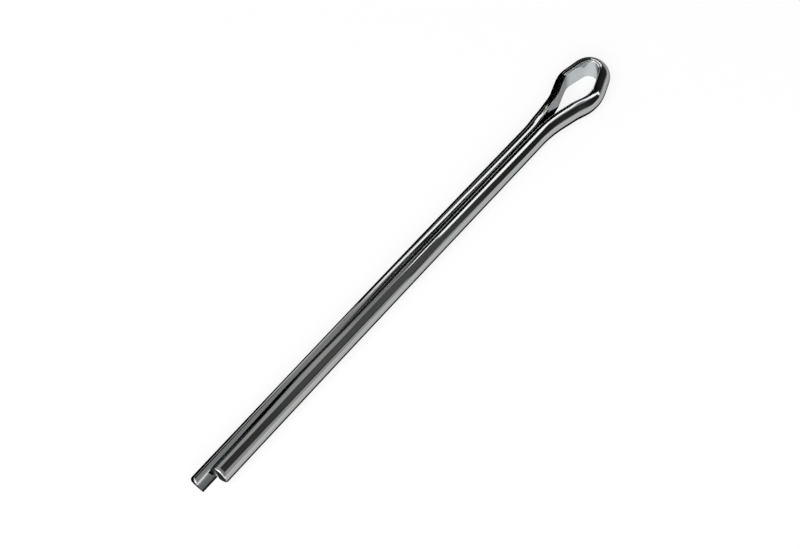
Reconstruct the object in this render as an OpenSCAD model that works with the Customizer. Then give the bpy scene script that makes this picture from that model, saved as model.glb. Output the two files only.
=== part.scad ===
// Split cotter pin for a 4 mm hole: one length of half-round steel wire, folded back on itself.
// The two flat faces lie side by side along the shank, and the fold opens into the eye.
// The shank's axis is X, the eye is at +X, and the fold lies flat in the XY plane.
// The origin is on that axis, where the short leg's straight part meets the eye.

/* [Shank] */
// Diameter of the round shank that the two legs make together
shank_d = 3.7; // [3.5:0.05:4]
// Gap between the flat faces of the two legs
leg_gap = 0.25; // [0.1:0.05:0.4]
// Straight length of the short leg, from the middle of its cut end to the eye
short_leg = 70.2; // [30:0.1:100]
// How far the long leg reaches past the short one
leg_extra = 2.9; // [2:0.05:4]
// Slant at which the shears cut both ends, so that the upper edge reaches furthest
cut_angle = 9; // [0:1:20]
// Radius of the wire's two rolled edges
edge_round = 0.25; // [0.15:0.05:0.35]

/* [Eye, short leg's side] */
// Bend radius of the flare, on the wire's flat face
short_flare_r = 8; // [3:0.1:9]
// Angle of the flare to the shank
short_flare_angle = 19; // [15:0.1:21]
// Straight length of the flare
short_flare_run = 4; // [3.5:0.05:6]
// Bend radius of the shoulder, where the eye is widest
short_shoulder_r = 5.4; // [3.5:0.1:6]
// Angle at which the side closes in again
short_closing_angle = 21; // [15:0.5:23]
// Straight length from the shoulder to the crown
short_closing_run = 1.65; // [1:0.05:2.5]

/* [Eye, long leg's side] */
// Bend radius of the slow first part of the flare
long_flare_r = 17.8; // [12:0.1:20]
// Angle of the first part of the flare to the shank
long_flare_angle = 9.7; // [8:0.1:12]
// Straight length of the first part of the flare
long_flare_run = 3.9; // [3:0.1:4.5]
// Bend radius of the steeper second part
long_kick_r = 9.9; // [6:0.1:12]
// Angle of the second part to the shank
long_kick_angle = 18.2; // [15:0.1:22]
// Straight length of the second part
long_kick_run = 1.6; // [1:0.1:2]
// Bend radius of the shoulder, where the eye is widest
long_shoulder_r = 2.4; // [2:0.1:4]
// Angle at which the side closes in again
long_closing_angle = 9.8; // [7:0.1:13]
// Straight length from the shoulder to the crown
long_closing_run = 2.2; // [1.5:0.1:3]

/* [Hidden] */
shank_r = shank_d / 2;
flat_y = leg_gap / 2;
zinc = [0.76, 0.78, 0.80];
// Short flats that stand for each rounded edge, and the turn from one to the next
edge_flats = 3;
edge_turn = 26;
// Chords round the wire's back, and the longest turn between two sections of the eye
back_chords = 14;
bend_step = 4;
// The eye's wire runs this far into each leg, and is this much slimmer than the leg
overlap = 1;
slimmer = 0.005;

// ---- The wire's section, with y measured from the shank's axis and the flat face at y = flat

// Centre of the circle that rounds the upper edge of a half-round of radius r
function edge_centre(r, flat) =
    [flat + edge_round, sqrt(pow(r - edge_round, 2) - pow(flat + edge_round, 2))];

// Corners of the rounded upper edge, from the flat face outwards
function edge_corners(r, flat) =
    [for (k = [0:edge_flats - 1])
        let (a = 180 - edge_turn * (k + 0.5), reach = edge_round / cos(edge_turn / 2))
            edge_centre(r, flat) + reach * [cos(a), sin(a)]];

// Angle, seen from the shank's axis, at which the last edge flat meets the round back
function back_angle(r, flat) =
    let (a = 180 - edge_turn * edge_flats)
        a - acos((edge_centre(r, flat) * [cos(a), sin(a)] + edge_round) / r);

function below(points) = [for (k = [len(points) - 1:-1:0]) [points[k][0], -points[k][1]]];

// The true half-round section: a circle trimmed by the flat face and the edge flats
module wire_section() {
    a = 90 - edge_turn * edge_flats;
    corners = edge_corners(shank_r, flat_y);
    outer = corners[edge_flats - 1] + shank_d * [cos(a), sin(a)];
    upper = concat(corners, [outer]);
    intersection() {
        circle(r = shank_r, $fn = 96);
        polygon(concat(upper, below(upper)));
    }
}

// The same section as a closed ring of points, for the folded eye
function wire_ring(r, flat) =
    let (b = back_angle(r, flat), corners = edge_corners(r, flat))
        concat(corners,
               [for (k = [0:back_chords]) let (a = b - 2 * b * k / back_chords) r * [cos(a), sin(a)]],
               below(corners));

// ---- The fold: stations [x, y, heading] along the wire's flat face

function last(list) = list[len(list) - 1];

function bend(from, r, turn) =
    let (n = ceil(abs(turn) / bend_step), side = sign(turn))
        [for (k = [1:n]) let (a = from[2] + turn * k / n)
            [from[0] + side * r * (sin(a) - sin(from[2])),
             from[1] - side * r * (cos(a) - cos(from[2])), a]];

function run(from, length) =
    [[from[0] + length * cos(from[2]), from[1] + length * sin(from[2]), from[2]]];

// Follows a list of moves, where [length] runs straight and [radius, turn] bends
function trace(path, moves, k = 0) =
    k == len(moves) ? path :
        trace(concat(path, len(moves[k]) == 1 ? run(last(path), moves[k][0])
                                              : bend(last(path), moves[k][0], moves[k][1])),
              moves, k + 1);

short_side = trace([[0, flat_y, 0]],
    [[short_flare_r, short_flare_angle], [short_flare_run],
     [short_shoulder_r, -short_flare_angle - short_closing_angle], [short_closing_run]]);
long_side = trace([[0, flat_y, 0]],
    [[long_flare_r, long_flare_angle], [long_flare_run],
     [long_kick_r, long_kick_angle - long_flare_angle], [long_kick_run],
     [long_shoulder_r, -long_kick_angle - long_closing_angle], [long_closing_run]]);

// The crown's arc joins the two sides, which sets its radius and where the long side starts
crown_r = (last(short_side)[1] + last(long_side)[1])
    / (cos(short_closing_angle) + cos(long_closing_angle));
long_start = last(short_side)[0] - last(long_side)[0]
    + crown_r * (sin(long_closing_angle) - sin(short_closing_angle));

// The whole fold, from inside the short leg, round the eye, to inside the long leg
short_run = [for (s = short_side) [s[0], -s[1], -s[2]]];
long_run = [for (k = [len(long_side) - 1:-1:0])
    [long_side[k][0] + long_start, long_side[k][1], 180 + long_side[k][2]]];
fold = concat([[-overlap, -flat_y, 0]], short_run,
    bend(last(short_run), crown_r, 180 - short_closing_angle - long_closing_angle),
    [for (k = [1:len(long_run) - 1]) long_run[k]],
    [[long_start - overlap, flat_y, 180]]);

module eye() {
    ring = wire_ring(shank_r - slimmer, flat_y + slimmer);
    n = len(ring);
    m = len(fold);
    points = [for (s = fold, p = ring)
        [s[0] + (p[0] - flat_y) * sin(s[2]), s[1] - (p[0] - flat_y) * cos(s[2]), p[1]]];
    sides = [for (i = [0:m - 2], j = [0:n - 1])
        [i * n + j, (i + 1) * n + j, (i + 1) * n + (j + 1) % n, i * n + (j + 1) % n]];
    caps = [[for (j = [0:n - 1]) j], [for (j = [n - 1:-1:0]) (m - 1) * n + j]];
    polyhedron(points, concat(sides, caps), convexity = 6);
}

// A straight leg on the +Y side, sheared off at x = from, to x = to
module leg(from, to) {
    slant = shank_r * tan(cut_angle);
    difference() {
        translate([from - slant, 0, 0]) rotate([90, 0, 90])
            linear_extrude(to - from + slant) wire_section();
        translate([from, 0, 0]) rotate([0, -cut_angle, 0])
            translate([-shank_d, -shank_d, -shank_d]) cube([shank_d, 2 * shank_d, 2 * shank_d]);
    }
}

module cotter_pin() {
    color(zinc) union() {
        mirror([0, 1, 0]) leg(-short_leg, 0);
        leg(-short_leg - leg_extra, long_start);
        eye();
    }
}

cotter_pin();
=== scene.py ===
import math

import bpy
import numpy as np
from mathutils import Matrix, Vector


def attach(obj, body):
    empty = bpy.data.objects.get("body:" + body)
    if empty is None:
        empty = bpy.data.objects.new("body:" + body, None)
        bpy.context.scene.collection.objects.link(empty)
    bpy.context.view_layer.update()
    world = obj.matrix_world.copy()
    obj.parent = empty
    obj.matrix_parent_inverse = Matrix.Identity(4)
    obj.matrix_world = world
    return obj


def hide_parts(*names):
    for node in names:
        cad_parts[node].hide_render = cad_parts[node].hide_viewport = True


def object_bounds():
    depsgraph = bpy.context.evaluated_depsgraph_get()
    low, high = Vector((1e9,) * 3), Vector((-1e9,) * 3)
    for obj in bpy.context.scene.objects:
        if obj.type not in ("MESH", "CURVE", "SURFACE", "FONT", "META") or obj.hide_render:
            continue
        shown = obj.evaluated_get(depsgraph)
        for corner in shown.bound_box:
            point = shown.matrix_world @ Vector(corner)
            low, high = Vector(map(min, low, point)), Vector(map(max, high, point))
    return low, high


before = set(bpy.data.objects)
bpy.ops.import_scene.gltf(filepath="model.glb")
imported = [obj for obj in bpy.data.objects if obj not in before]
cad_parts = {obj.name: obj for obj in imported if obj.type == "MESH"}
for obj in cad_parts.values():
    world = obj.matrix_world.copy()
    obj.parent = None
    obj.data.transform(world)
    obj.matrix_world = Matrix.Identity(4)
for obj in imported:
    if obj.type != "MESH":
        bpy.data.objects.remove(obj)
cad_low, cad_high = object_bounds()

# ---- The pin -----------------------------------------------------------------------------
# One length of half-round wire, drawn from low carbon steel and folded back flat to flat. The
# fold is pressed round a former into the eye, and the two ends are sheared off. The pin is
# plated after that, so the same skin of zinc covers its flats, its round back and its ends.

MM = 0.001                   # lengths here are in millimetres, and turns in degrees

# The wire
BACK = 1.85                  # radius of its round back
HEIGHT = 0.975               # how high it is, against a true half-round of that radius
MIDDLE = 0.83                # from its flat face to the middle of its section
SHORT_EDGE = 0.16            # radius of its two rolled edges on the short leg,
EYE_EDGE = 0.20              # round the eye,
LONG_EDGE = 0.05             # and on the long leg

# The legs
HALF_GAP = 0.125             # from the shank's axis to each flat face
SHORT_END = -70.17           # the middle of each cut end, along the shank from where the eye starts
LONG_END = -73.0
LEG = 65.8                   # the length over which the legs' small bends are given
BOW = 0.31                   # over that length both legs bend this far to the short leg's side,
SPREAD = 0.036               # and each springs this far off the axis
TWIST = 1.6                  # they are twisted by this much from a quarter of it on,
KINK = 7.4                   # and by this much more round one place, where folding left a kink:
KINK_AT = 0.8                # its place and its reach, as shares of that length
KINK_REACH = 0.13

# The two sides of the eye as moves along the flat face, from the shank to the crown:
# (length) runs straight, and (radius, turn) bends. Each starts at x, at y on its own side of
# the shank's axis, and at a heading.
SHORT_START = (-2.87, 0.105, 0.0)
SHORT_SIDE = [(20.0, 14.0), (2.28,), (5.8, 7.1), (1.2,), (4.4, -42.2), (2.45,)]
LONG_START = (0.0, HALF_GAP, 0.0)
LONG_SIDE = [(12.2, 8.3), (5.6,), (5.3, 9.2), (2.55,), (2.6, -30.5), (2.55,)]
LATE_AT = [-2.5, -1.2, 1.3, 3.2, 5.2, 6.5]      # here along the shank
LATE_BY = [0, 0.03, 0.13, 0.10, 0.03, 0]        # the long side leaves it late, by this much
SLACK = 1.2                  # the crown is this much slacker where it leaves the short side,
SLACK_TURN = 47.7            # for this much of its turn
SHORT_ROLL = 2.0             # how far the wire is rolled over in the eye, on the short side
LONG_ROLL = -2.7             # and on the long side
ROLL_AT = -1.5, 4.5          # along the shank, where that roll starts and where it is full
EDGE_AT = 2, 8               # where the legs' edges start to turn into the eye's, and where they have
CROSSING = 0.7, 2.1          # headings, in radians, between which the crown crosses from side to side
LEAN_IN = -15.0              # from here on the short leg leans to the axis
LEAD = 6.0                   # length of the long leg that is eased together with the eye
EASE = 0.18                  # reach of that easing
STEP = 0.2                   # between sections of the wire in the eye
LEG_STEP = 0.8               # and along the legs
JOIN = 0.3                   # a gap left where two stretches of the line meet


def trace(moves, start):
    """Points (x, y, heading) along a list of moves."""
    path = [start]
    for move in moves:
        x, y, a = path[-1]
        turn = math.radians(move[1]) if len(move) == 2 else 0.0
        n = math.ceil(move[0] * (abs(turn) or 1) / STEP) + 2
        for k in range(1, n + 1):
            b = a + turn * k / n
            if turn:
                r = math.copysign(move[0], turn)
                path.append((x + r * (math.sin(b) - math.sin(a)), y - r * (math.cos(b) - math.cos(a)), b))
            else:
                d = move[0] * k / n
                path.append((x + d * math.cos(a), y + d * math.sin(a), a))
    return path


def fold_line():
    """The flat face's line round the eye, from the short leg's root to the long leg's."""
    short, long = trace(SHORT_SIDE, SHORT_START), trace(LONG_SIDE, LONG_START)
    (sx, sy, sa), (lx, ly, la) = short[-1], long[-1]
    rest = 180 - SLACK_TURN + math.degrees(sa + la)
    unit = trace([(SLACK, SLACK_TURN), (1.0, rest)], (0.0, 0.0, -sa))[-1]
    crown = (sy + ly) / unit[1]
    arc = trace([(SLACK * crown, SLACK_TURN), (crown, rest)], (sx, -sy, -sa))
    shift = arc[-1][0] - lx
    near = [(x, -y) for x, y, a in short[:-1]]
    far = [(x + shift, y - np.interp(x + shift, LATE_AT, LATE_BY)) for x, y, a in reversed(long[:-1])]
    return np.array(near + [(x, y) for x, y, a in arc] + far)


def lengths(line):
    """How far along the line each of its points is."""
    return np.concatenate([[0], np.cumsum(np.linalg.norm(np.diff(line, axis=0), axis=1))])


def even(line, step):
    """The same line, with points at even steps."""
    along = lengths(line)
    at = np.linspace(0, along[-1], round(along[-1] / step) + 1)
    return np.stack([np.interp(at, along, line[:, k]) for k in range(2)], 1)


def eased(line, step, reach):
    """The same line with its bends running gently into the straights, as springy wire leaves them."""
    n = round(3 * reach / step)
    w = np.exp(-0.5 * (np.arange(-n, n + 1) * step / reach) ** 2)
    before = line[0] + (line[0] - line[1]) * np.arange(n, 0, -1)[:, None]
    after = line[-1] + (line[-1] - line[-2]) * np.arange(1, n + 1)[:, None]
    line = np.concatenate([before, line, after])
    return np.stack([np.convolve(line[:, k], w / w.sum(), "valid") for k in range(2)], 1)


def soft(x, a, b):
    """0 before a, 1 after b, and a smooth rise between."""
    t = np.clip((x - a) / (b - a), 0, 1)
    return t * t * (3 - 2 * t)


fold = fold_line()
ROOT = fold[-1][0]           # where the long leg's flat face starts into the eye
root_x = np.arange(LEAN_IN, SHORT_START[0] - JOIN, STEP)
root_y = (HALF_GAP - SHORT_START[1]) * soft(root_x, LEAN_IN, SHORT_START[0]) - HALF_GAP
eye = np.concatenate([np.stack([root_x, root_y], 1), fold, [[ROOT - LEAD, HALF_GAP]]])
eye = eased(even(eye, STEP), STEP, EASE)
short_x = np.arange(SHORT_END, LEAN_IN - 2 * JOIN, LEG_STEP)
long_x = np.append(np.arange(ROOT - LEAD - LEG_STEP, LONG_END, -LEG_STEP), LONG_END)
line = np.concatenate([np.stack([short_x, np.full(len(short_x), -HALF_GAP)], 1), eye,
                       np.stack([long_x, np.full(len(long_x), HALF_GAP)], 1)])
tangent = np.gradient(line, axis=0)
heading = np.unwrap(np.arctan2(tangent[:, 1], tangent[:, 0]))
heading[[0, -1]] = 0, math.pi
run = lengths(line)
past_shoulders = line[:, 0] > 9
crown_at = np.interp(math.pi / 2, heading[past_shoulders], run[past_shoulders])

# How much the former pressed the wire's back flatter, along the fold from the crown's middle
PRESSED_AT = [-20, -13, -9, -6, -3.5, -1.5, 0, 2, 4, 6, 8, 9.5, 11.5, 13.5, 16]
PRESSED = [0, 0.02, 0.04, 0.10, 0.03, 0.02, 0.02, 0.05, 0.15, 0.20, 0.24, 0.24, 0.12, 0.02, 0]

# The shears pressed the long leg's upper edge flat beside the cut
EDGE_WAY = np.array([-0.574, 0.819])            # the way that edge points, out of the flat and up
EDGE_REACH = 1.499                              # how far it stands out that way
EDGE_PRESSED = 0.20                             # how deep it was pressed
EDGE_FROM, EDGE_TO = 69.3, 72.8                 # where the pressing starts and is full


def section(trim, edge, back=60, corner=10, flat=9):
    """Half-round outline as (out, up) from the flat face, for a back whose centre lies trim behind it."""
    centre = math.sqrt((BACK - edge) ** 2 - (trim + edge) ** 2)
    meet = math.atan2(centre, trim + edge)
    turns = np.linspace(math.pi, meet, corner)
    upper = [(edge + edge * math.cos(a), centre + edge * math.sin(a)) for a in turns]
    turns = np.linspace(meet, -meet, back)[1:-1]
    arc = [(BACK * math.cos(a) - trim, BACK * math.sin(a)) for a in turns]
    lower = [(x, -z) for x, z in reversed(upper)]
    face = [(0.0, z) for z in np.linspace(-centre, centre, flat)[1:-1]]
    return np.array(upper + arc + lower + face)


def down_leg(x, side):
    """How far down its leg a place is, as a share of LEG; side is -1 on the short leg and 1 on the long."""
    return max(0.0, (-x if side < 0 else ROOT - x) / LEG)


def ring_at(x, y, a, way):
    """The wire's outline at one place on the line, with what folding left bent and twisted."""
    side = -math.copysign(1, math.cos(a))
    u = down_leg(x, side)
    far = np.interp(a, CROSSING, (0, 1))             # 0 on the short side, 1 on the long side
    leg_edge = SHORT_EDGE + (LONG_EDGE - SHORT_EDGE) * far
    edge = leg_edge + (EYE_EDGE - leg_edge) * soft(x, *EDGE_AT)
    points = section(HALF_GAP + np.interp(way, PRESSED_AT, PRESSED), edge)
    if far == 1:
        over = points @ EDGE_WAY - EDGE_REACH + EDGE_PRESSED * soft(-x, EDGE_FROM, EDGE_TO)
        points -= np.maximum(over, 0)[:, None] * EDGE_WAY
    roll = math.radians(soft(x, *ROLL_AT) * (SHORT_ROLL + (LONG_ROLL - SHORT_ROLL) * far))
    turned = np.array([[math.cos(roll), math.sin(roll)], [-math.sin(roll), math.cos(roll)]])
    points = (points - (MIDDLE, 0)) @ turned + (MIDDLE, 0)
    px = x + math.sin(a) * points[:, 0]
    py = y + side * SPREAD * u - math.cos(a) * points[:, 0]
    pz = points[:, 1] * HEIGHT
    kink = KINK * math.exp(-((u - KINK_AT) / KINK_REACH) ** 2) if u else 0.0
    twist = -math.radians(TWIST * min(1, u / 0.25) + kink)
    return np.stack([px, py * math.cos(twist) - pz * math.sin(twist) - BOW * u * u,
                     py * math.sin(twist) + pz * math.cos(twist)], 1)


rings = [ring_at(x, y, a, r - crown_at) for (x, y), a, r in zip(line, heading, run)]
outline = section(HALF_GAP, SHORT_EDGE)
count = len(outline)

# How far the shears rolled the cut ends over, from the flat face out: most on the round back
ROLLED_AT = [0, 0.14, 1.0, 1.7]
SHORT_ROLLED = [0.06, 0.14, 0.28, 0.26]
LONG_ROLLED = [0.06, 0.20, 0.52, 0.50]
SHORT_SLANT = 0.10           # how far each cut leans out towards the upper side, for each millimetre up
LONG_SLANT = 0.20
SLANT_FADE = 4.0             # length over which that lean fades out along the leg
ROLL_RINGS = 9               # rings over a rolled rim
FACE_RINGS = 0.85, 0.6, 0.35, 0.12      # rings across a sheared face, as shares of its rim
TORN_RINGS = 7               # rings of each end that show the torn face


def cut_end(ring, rolled):
    """Rings from the full section over the rolled rim, and across the sheared face to its middle."""
    middle = ring.mean(0)
    inward = middle - ring
    inward[:, 0] = 0
    inward /= np.linalg.norm(inward, axis=1)[:, None]
    made = []
    for a in np.radians(np.linspace(0, 90, ROLL_RINGS)):
        r = ring + inward * (rolled * (1 - math.cos(a)))[:, None]
        r[:, 0] += rolled * (1 - math.sin(a))
        made.append(r)
    return made + [middle + (made[-1] - middle) * share for share in FACE_RINGS]


head = cut_end(rings[0], np.interp(outline[:, 0], ROLLED_AT, SHORT_ROLLED))
tail = cut_end(rings[-1], np.interp(outline[:, 0], ROLLED_AT, LONG_ROLLED))
halfway = len(head) + int(np.searchsorted(run, crown_at)) - 1
rings = head[::-1] + rings[1:-1] + tail
for k, ring in enumerate(rings):
    end, slant = (SHORT_END, SHORT_SLANT) if k < halfway else (LONG_END, LONG_SLANT)
    ring[:, 0] -= slant * ring[:, 2] * np.clip((end + SLANT_FADE - ring[:, 0]) / SLANT_FADE, 0, 1)

m = len(rings)
faces = [(i * count + j, i * count + (j + 1) % count, (i + 1) * count + (j + 1) % count, (i + 1) * count + j)
         for i in range(m - 1) for j in range(count)]
ends = [tuple(range(count))[::-1], tuple((m - 1) * count + j for j in range(count))]
mesh = bpy.data.meshes.new("split_pin")
mesh.from_pydata((np.concatenate(rings) * MM).tolist(), [], faces + ends)
mesh.polygons.foreach_set("use_smooth", [True] * len(mesh.polygons))

# Where each corner of the skin lies along the wire and round it, in millimetres; which of it is
# the flat face, and which the sheared ends
along = np.concatenate([[run[0]] * len(head), run[1:-1], [run[-1]] * len(tail)])
around = lengths(np.vstack([outline, outline[:1]]))
laid = np.zeros((len(mesh.loops), 3))
laid[:4 * len(faces), :2] = [(along[p], around[q]) for i in range(m - 1) for j in range(count)
                             for p, q in ((i, j), (i, j + 1), (i + 1, j + 1), (i + 1, j))]
mesh.attributes.new("along_and_round", "FLOAT_VECTOR", "CORNER").data.foreach_set("vector", laid.ravel())
cut = np.zeros(m)
cut[:TORN_RINGS] = 1
cut[-TORN_RINGS:] = 1
mesh.attributes.new("sheared", "FLOAT", "POINT").data.foreach_set("value", np.repeat(cut, count))
on_flat = (outline[:, 0] < 0.05).astype(float)
mesh.attributes.new("flat", "FLOAT", "POINT").data.foreach_set("value", np.tile(on_flat, m))
pin = bpy.data.objects.new("split_pin", mesh)
bpy.context.scene.collection.objects.link(pin)


def linear(code):
    """An sRGB hex colour as linear red, green, blue and alpha."""
    parts = [int(code[k:k + 2], 16) / 255 for k in (1, 3, 5)]
    return tuple(p / 12.92 if p <= 0.04045 else ((p + 0.055) / 1.055) ** 2.4 for p in parts) + (1.0,)


def add(tree, kind, inputs={}, **settings):
    """A new node with its settings, and with a value or a link on each named input."""
    node = tree.nodes.new(kind)
    for name, value in settings.items():
        setattr(node, name, value)
    for socket, value in inputs.items():
        if isinstance(value, bpy.types.NodeSocket):
            tree.links.new(value, node.inputs[socket])
        else:
            node.inputs[socket].default_value = value
    return node


# Bright zinc plate on drawn steel wire: a thin mirror-like skin that follows the fine lines the
# drawing die left along the wire, with the faint blue and straw tints of its clear passivation
ZINC_BACK = "#B3B5B4"        # the round back
ZINC_FLAT_PAINTED_LIFT = "#CCD1D4"        # the flat face, painted brighter than the back: a painted lift that brightens its reflections
ZINC_BLUE = "#A9B2BA"        # the passivation's tints
ZINC_STRAW = "#B7B5A9"
ZINC_TORN_AND_SHADE = "#5A5B5C"        # the sheared ends: a torn surface plates dull, and is darkened further as painted shade for the shadowed floor they mirror
ZINC_EDGE_SHADE = "#A0A0A0"        # edge tint that darkens the metal where it turns away: a painted dark outline for the shade its edges mirror
TINT = 0.35                  # the most of a tint that a patch takes
LINE_GAP = 0.14              # the die's lines are about 0.02 mm apart, and drawn coarser to show
LINE_LENGTH = 16.0
LINE_DEPTH = 0.0015
WAVE = 1.3                   # soft waviness of the plate, round the wire, and five times that along it
WAVE_DEPTH = 0.004
TINT_PATCH = 9.0             # size of a patch of one tint along the wire, and a third of that round it

zinc = bpy.data.materials.new("bright_zinc_plate")
zinc.use_nodes = True
tree = zinc.node_tree
place = add(tree, "ShaderNodeAttribute", attribute_name="along_and_round").outputs["Vector"]
stretched = add(tree, "ShaderNodeVectorMath", {0: place, 1: (1 / LINE_LENGTH, 1 / LINE_GAP, 0)},
                operation="MULTIPLY")
lines = add(tree, "ShaderNodeTexNoise",
            {"Vector": stretched.outputs[0], "Scale": 1.0, "Detail": 1.0, "Roughness": 0.4})
swells = add(tree, "ShaderNodeVectorMath", {0: place, 1: (0.2 / WAVE, 1 / WAVE, 0)}, operation="MULTIPLY")
waves = add(tree, "ShaderNodeTexNoise", {"Vector": swells.outputs[0], "Scale": 1.0, "Detail": 1.0})
patches = add(tree, "ShaderNodeVectorMath", {0: place, 1: (1 / TINT_PATCH, 3 / TINT_PATCH, 0)},
              operation="MULTIPLY")
tints = add(tree, "ShaderNodeTexNoise", {"Vector": patches.outputs[0], "Scale": 1.0, "Detail": 2.0})
blue = add(tree, "ShaderNodeMapRange",
           {"Value": tints.outputs["Fac"], "From Min": 0.5, "From Max": 0.72, "To Max": TINT})
straw = add(tree, "ShaderNodeMapRange",
            {"Value": tints.outputs["Fac"], "From Min": 0.5, "From Max": 0.28, "To Max": TINT})
flat = add(tree, "ShaderNodeAttribute", attribute_name="flat")
torn_and_shade = add(tree, "ShaderNodeAttribute", attribute_name="sheared")
skin = linear(ZINC_BACK)
# Mix in the passivation's tints, then the flat face's painted lift and the sheared ends' dullness and
# painted shade
for amount, colour in ((blue.outputs[0], ZINC_BLUE), (straw.outputs[0], ZINC_STRAW),
                       (flat.outputs["Fac"], ZINC_FLAT_PAINTED_LIFT), (torn_and_shade.outputs["Fac"], ZINC_TORN_AND_SHADE)):
    skin = add(tree, "ShaderNodeMix", {0: amount, 6: skin, 7: linear(colour)}, data_type="RGBA").outputs[2]
shade = add(tree, "ShaderNodeMapRange", {"Value": lines.outputs["Fac"], "From Min": 0.25, "From Max": 0.75,
                                         "To Min": 0.86, "To Max": 1.0})
skin = add(tree, "ShaderNodeMix", {0: 1.0, 6: skin, 7: shade.outputs[0]},
           data_type="RGBA", blend_type="MULTIPLY").outputs[2]
gloss = add(tree, "ShaderNodeMapRange", {"Value": lines.outputs["Fac"], "From Min": 0.3, "From Max": 0.7,
                                         "To Min": 0.05, "To Max": 0.09})
rough = add(tree, "ShaderNodeMath", {0: torn_and_shade.outputs["Fac"], 1: 0.3, 2: gloss.outputs[0]},
            operation="MULTIPLY_ADD")
swell = add(tree, "ShaderNodeBump", {"Height": waves.outputs["Fac"], "Strength": 1.0,
                                     "Distance": WAVE_DEPTH * MM})
drawn = add(tree, "ShaderNodeBump", {"Height": lines.outputs["Fac"], "Strength": 1.0,
                                     "Distance": LINE_DEPTH * MM, "Normal": swell.outputs["Normal"]})
shader = tree.nodes["Principled BSDF"]
shader.inputs["Metallic"].default_value = 1.0
# The edge tint paints a dark outline where the surface turns away
shader.inputs["Specular Tint"].default_value = linear(ZINC_EDGE_SHADE)
tree.links.new(skin, shader.inputs["Base Color"])
tree.links.new(rough.outputs[0], shader.inputs["Roughness"])
tree.links.new(drawn.outputs["Normal"], shader.inputs["Normal"])
mesh.materials.append(zinc)
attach(pin, "root")
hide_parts("cotter_pin")

# ---- The floor ---------------------------------------------------------------------------
# A sheet of white paper, wide enough to fill the view. It shows at full white to the eye and in
# the metal, and still takes the pin's faint shadow.

PAPER = "#F4F4F4"
PAPER_WHITE = 0.8            # how much of it the eye and the metal see as plain white

bpy.ops.mesh.primitive_plane_add(size=6, location=(0, 0, cad_low.z))
floor = bpy.context.object
floor.name = "floor"
paper = bpy.data.materials.new("white_paper")
paper.use_nodes = True
tree = paper.node_tree
matt = tree.nodes["Principled BSDF"]
matt.inputs["Base Color"].default_value = linear(PAPER)
matt.inputs["Roughness"].default_value = 0.9
matt.inputs["Specular IOR Level"].default_value = 0
ray = add(tree, "ShaderNodeLightPath").outputs
seen = add(tree, "ShaderNodeMath", {0: ray["Is Camera Ray"], 1: ray["Is Glossy Ray"]}, operation="ADD")
seen = add(tree, "ShaderNodeMath", {0: seen.outputs[0], 1: ray["Is Transmission Ray"]}, operation="ADD")
share = add(tree, "ShaderNodeMath", {0: seen.outputs[0], 1: PAPER_WHITE},
            operation="MULTIPLY", use_clamp=True)
white = add(tree, "ShaderNodeEmission", {"Color": (1, 1, 1, 1), "Strength": 1.0})
lit = add(tree, "ShaderNodeMixShader", {0: share.outputs[0], 1: matt.outputs[0], 2: white.outputs[0]})
tree.links.new(lit.outputs[0], tree.nodes["Material Output"].inputs["Surface"])
floor.data.materials.append(paper)

# ---- The camera --------------------------------------------------------------------------
# A long lens. It looks steeply down on the pin from beyond the cut ends, on the short leg's
# side, so that the pin lies across the view with its eye at the upper right.

AZIMUTH, ELEVATION = math.radians(-50.82), math.radians(58.47)
DISTANCE = 0.2436
TO_MIDDLE = 0.04086          # from the long leg's end to the place the lens is aimed at

camera_data = bpy.data.cameras.new("camera")
camera_data.sensor_width = 36
camera_data.lens = 81
camera = bpy.data.objects.new("camera", camera_data)
bpy.context.scene.collection.objects.link(camera)
bpy.context.scene.camera = camera
away = Vector((math.sin(AZIMUTH) * math.cos(ELEVATION), -math.cos(AZIMUTH) * math.cos(ELEVATION),
               math.sin(ELEVATION)))
camera.location = Vector((cad_low.x + TO_MIDDLE, 0.00021, 0)) + DISTANCE * away
camera.rotation_euler = away.to_track_quat("Z", "Y").to_euler()

# ---- The light ---------------------------------------------------------------------------
# A small tent of soft boxes and grey and black cards that only the metal sees, because a bright
# wire shows whatever stands around it. Two long soft boxes draw the white line on each leg, and
# one large soft box lights the floor.

ROOM = 0.42                  # plain grey light of the room
WHITE = 2.2                  # brightness of the soft boxes in the metal
PALE = 0.6                   # of the grey cards
BLACK = 0.004                # of the black cloth

world = bpy.data.worlds.new("studio")
bpy.context.scene.world = world
world.use_nodes = True
room = world.node_tree.nodes["Background"]
room.inputs["Color"].default_value = (1, 1, 1, 1)
room.inputs["Strength"].default_value = ROOM

# Where along the pin the wire's back mirrors a direction that leans so much along it: down the straight
# shank a mirrored line of sight keeps its own lean, and round the eye the places are chosen
SHANK_PLACES = np.array([-73, -53, -41, -29, -18.3, -10.5, -3.5])
sight = SHANK_PLACES[:, None] * MM * np.array([1, 0, 0]) - np.array(camera.location)
LEANS = [-0.3, 0, *(sight[:, 0] / np.linalg.norm(sight, axis=1)), 0.55, 0.6, 0.75]
PLACES = [4, 4, *SHANK_PLACES, 3, 6, 12]


def card(name, points, faces, brightness):
    """A card or soft box that only the metal sees, with a brightness at each of its points."""
    sheet = bpy.data.meshes.new(name)
    sheet.from_pydata(points, [], faces)
    levels = np.ravel(np.broadcast_to(brightness, len(points)))
    sheet.attributes.new("brightness", "FLOAT", "POINT").data.foreach_set("value", levels)
    stand = bpy.data.objects.new(name, sheet)
    bpy.context.scene.collection.objects.link(stand)
    stand.visible_camera = stand.visible_diffuse = stand.visible_shadow = False
    cover = bpy.data.materials.new(name)
    cover.use_nodes = True
    tree = cover.node_tree
    level = add(tree, "ShaderNodeAttribute", attribute_name="brightness")
    glow = add(tree, "ShaderNodeEmission", {"Color": (1, 1, 1, 1), "Strength": level.outputs["Fac"]})
    tree.links.new(glow.outputs[0], tree.nodes["Material Output"].inputs["Surface"])
    sheet.materials.append(cover)


def grid(m, n):
    """Faces between m rows of n points."""
    return [(i * n + j, i * n + j + 1, (i + 1) * n + j + 1, (i + 1) * n + j)
            for i in range(m - 1) for j in range(n - 1)]


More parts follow.
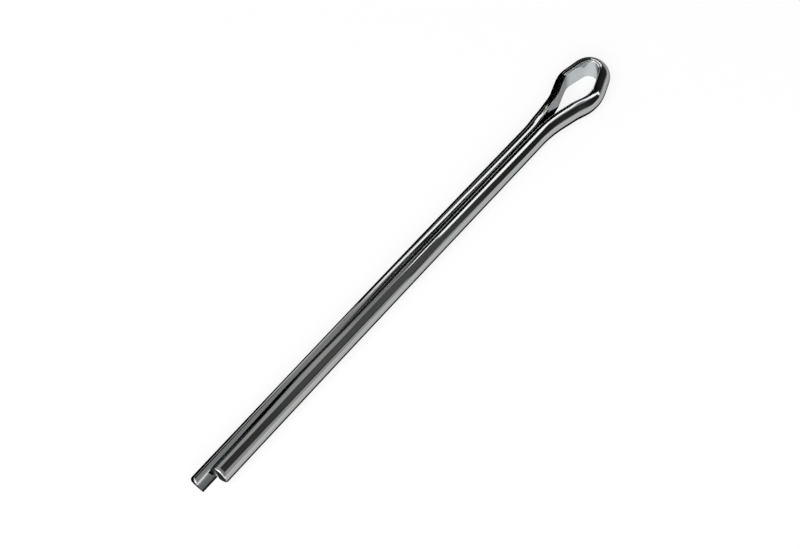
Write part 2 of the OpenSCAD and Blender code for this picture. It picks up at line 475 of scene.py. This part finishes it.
def mirrored(lean, turn, distance):
    """The point at a distance that the back mirrors: its lean along the pin, and its turn from above."""
    across = math.sqrt(1 - lean * lean)
    turn = math.radians(turn)
    return (np.interp(lean, LEANS, PLACES) * MM + distance * lean,
            distance * across * math.sin(turn), distance * across * math.cos(turn))


def strip(name, low, high, distance, brightness, rows=31, columns=9):
    """A long card that curves round the pin between two edges, each a list of (lean, turn).

    Its brightness is one number, or a list of (lean, brightness).
    """
    leans = np.linspace(low[0][0], low[-1][0], rows)
    a, b = (np.interp(leans, *zip(*edge)) for edge in (low, high))
    if not isinstance(brightness, list):
        brightness = [(0, brightness)]
    levels = np.interp(leans, *zip(*brightness))
    points = [mirrored(lean, p + (q - p) * k / (columns - 1), distance)
              for lean, p, q in zip(leans, a, b) for k in range(columns)]
    card(name, points, grid(rows, columns), np.repeat(levels, columns))


def tent_side(name, corners, distance, brightness, rows=7, columns=7):
    """A card between four corners, each a bearing from +X towards +Y and a height above the floor."""
    low_a, low_b, high_b, high_a = np.array(corners, float)
    points = []
    for i in np.linspace(0, 1, rows):
        for j in np.linspace(0, 1, columns):
            b, h = np.radians((low_a * (1 - i) + high_a * i) * (1 - j) + (low_b * (1 - i) + high_b * i) * j)
            points.append((distance * math.cos(h) * math.cos(b), distance * math.cos(h) * math.sin(b),
                           distance * math.sin(h)))
    card(name, points, grid(rows, columns), brightness)


# The soft boxes that draw the white lines: one above the short leg, one behind the long leg
strip("top_box",
      [(0.408, -21), (0.417, -25), (0.46, -32), (0.48, -38), (0.50, -43), (0.55, -52), (0.60, -60),
       (0.68, -82)],
      [(0.408, -12), (0.417, -8), (0.46, -16), (0.48, -17), (0.50, -20), (0.55, -30), (0.60, -40),
       (0.68, -48)],
      0.3, WHITE)
strip("back_box",
      [(0.37, 70), (0.40, 69), (0.43, 56), (0.455, 50), (0.48, 41), (0.50, 41), (0.60, 38)],
      [(0.37, 90), (0.40, 88), (0.43, 78), (0.455, 69), (0.48, 60), (0.50, 58), (0.60, 48)],
      2.0, [(0.37, 0.4), (0.40, WHITE), (0.60, WHITE)])

# The black cloth behind them, which blackens the legs towards the eye, and its tapering end
strip("black_cloth", [(0.41, -70), (0.97, -70)], [(0.41, 95), (0.97, 95)],
      4.0, [(0.41, BLACK), (0.62, BLACK), (0.75, 0.03), (0.97, 0.04)])
strip("cloth_wedge", [(0.355, 32), (0.375, 24), (0.41, 12)], [(0.355, 38), (0.375, 48), (0.41, 64)],
      3.9, BLACK)

# The dark card close in front, for the dark band along the short leg's back
strip("dark_card",
      [(-0.18, -84), (0.24, -64), (0.30, -62), (0.33, -57), (0.375, -64), (0.417, -74), (0.452, -81),
       (0.477, -87), (0.49, -90), (0.62, -90)],
      [(-0.18, -20), (0.24, -13), (0.30, -14), (0.33, -17), (0.385, -19), (0.417, -23), (0.452, -32),
       (0.477, -36), (0.62, -58)],
      0.06, [(-0.1, 0.02), (0.25, 0.045), (0.30, 0.07), (0.34, 0.14), (0.417, 0.13), (0.44, 0.09),
             (0.47, 0.03), (0.62, 0.02)])

# Under it a pale card for the grey band below, one overhead, and a black flag by the long leg
strip("front_card",
      [(-0.4, -93), (0.62, -93)],
      [(-0.4, -58), (0.25, -60), (0.30, -58), (0.33, -54), (0.375, -60), (0.417, -70), (0.452, -78),
       (0.477, -84), (0.52, -88), (0.62, -89)],
      0.08, PALE)
strip("overhead_card", [(-0.6, -17), (0.37, -17)], [(-0.6, 23), (0.37, 23)], 0.9, PALE)
strip("side_flag", [(0.15, 74), (0.27, 74), (0.32, 84)], [(0.15, 90), (0.32, 90)], 0.6, 0.0)

# Two soft boxes at the ends: one past the eye for the crown, and one that bends from beside the
# long leg round to the cut ends
tent_side("end_box", [(3, 24), (3, 42), (30, 20), (30, 6)], 0.4, WHITE)
tent_side("left_box", [(95, 2), (95, 48), (235, 24), (235, 2)], 0.5, WHITE, rows=17)

# Small cards laid on the floor, in millimetres and just clear of it: a white one that lights the
# rims of the cut ends, and a grey one beside the long leg's end, black at the wire and brighter away from
# it, a painted shadow on the floor beside the wire
card_z = cad_low.z + 0.1 * MM


def laid_out(corners):
    """Corners on the floor, from millimetres to metres."""
    return [(x * MM, y * MM, card_z) for x, y in corners]


card("tip_glow", laid_out([(-80, -11), (-72.2, -11), (-72.2, -3), (-80, -3)]), [(0, 1, 2, 3)], WHITE)
TIP_SHADE_ROWS = [(-0.15, 0.0), (-0.45, 0.03), (-0.6, 0.25), (-1.1, 0.30), (-1.6, 0.45), (-2.1, 0.75)]
card("tip_shadow_card", laid_out([(x, y) for y, level in TIP_SHADE_ROWS for x in (-76, -69.9)]), grid(6, 2),
     np.repeat([level for y, level in TIP_SHADE_ROWS], 2))

# Black ones: a flag that stands beside the eye, a sheet on the floor behind the pin, and a black strip
# along the wire's foot and in under the fork, a painted contact shadow that gives the wire its dark outline
EYE_FLAG = [(8.5, 15.5, -2), (13.5, 15, -2), (13.5, 12, 12), (8.5, 12.5, 12)]
card("eye_flag", (np.array(EYE_FLAG) * MM).tolist(), [(0, 1, 2, 3)], 0.0)
FLAG = [(-80, 0), (-80, 50), (-62, 50), (-54, 10), (-36, 10), (-24, 60), (80, 60), (80, 12),
        (12, 5.5), (6, 4.1), (0, 1)]
card("floor_flag", laid_out(FLAG), [tuple(range(len(FLAG)))], 0.0)
SHADE_INNER = 0.4             # the painted shadow's two edges, from the wire's flat face outwards
SHADE_OUTER = 2.9
SHADE_REACH = 0.9             # how far it reaches in under the fork where the legs part,
FORK = 3.2, 5.6              # up to here along the shank, where that reach runs out

contact_shade = []
for (x, y), a in zip(line[::2], heading[::2]):
    u = down_leg(x, -math.copysign(1, math.cos(a)))
    inner = -SHADE_REACH * (1 - soft(x, *FORK)) if ROOT - 3 < x < 6.5 else SHADE_INNER
    contact_shade += [(MM * (x + math.sin(a) * out), MM * (y - BOW * u * u - math.cos(a) * out), card_z + 0.02 * MM)
             for out in (inner, SHADE_OUTER)]
card("painted_contact_shade", contact_shade, [(k, k + 1, k + 3, k + 2) for k in range(0, len(contact_shade) - 2, 2)], 0.0)

# The large soft box
KEY_SIZE, KEY_WATTS, KEY_DISTANCE = 0.9, 10, 0.9
KEY_BEARING, KEY_HEIGHT = math.radians(205), math.radians(46)

key = bpy.data.lights.new("key_box", "AREA")
key.shape = "SQUARE"
key.size = KEY_SIZE
key.energy = KEY_WATTS
key_box = bpy.data.objects.new("key_box", key)
toward = Vector((math.cos(KEY_HEIGHT) * math.cos(KEY_BEARING), math.cos(KEY_HEIGHT) * math.sin(KEY_BEARING),
                 math.sin(KEY_HEIGHT)))
key_box.location = KEY_DISTANCE * toward
key_box.rotation_euler = toward.to_track_quat("Z", "Y").to_euler()
bpy.context.scene.collection.objects.link(key_box)

bpy.context.scene.view_settings.view_transform = "Standard"
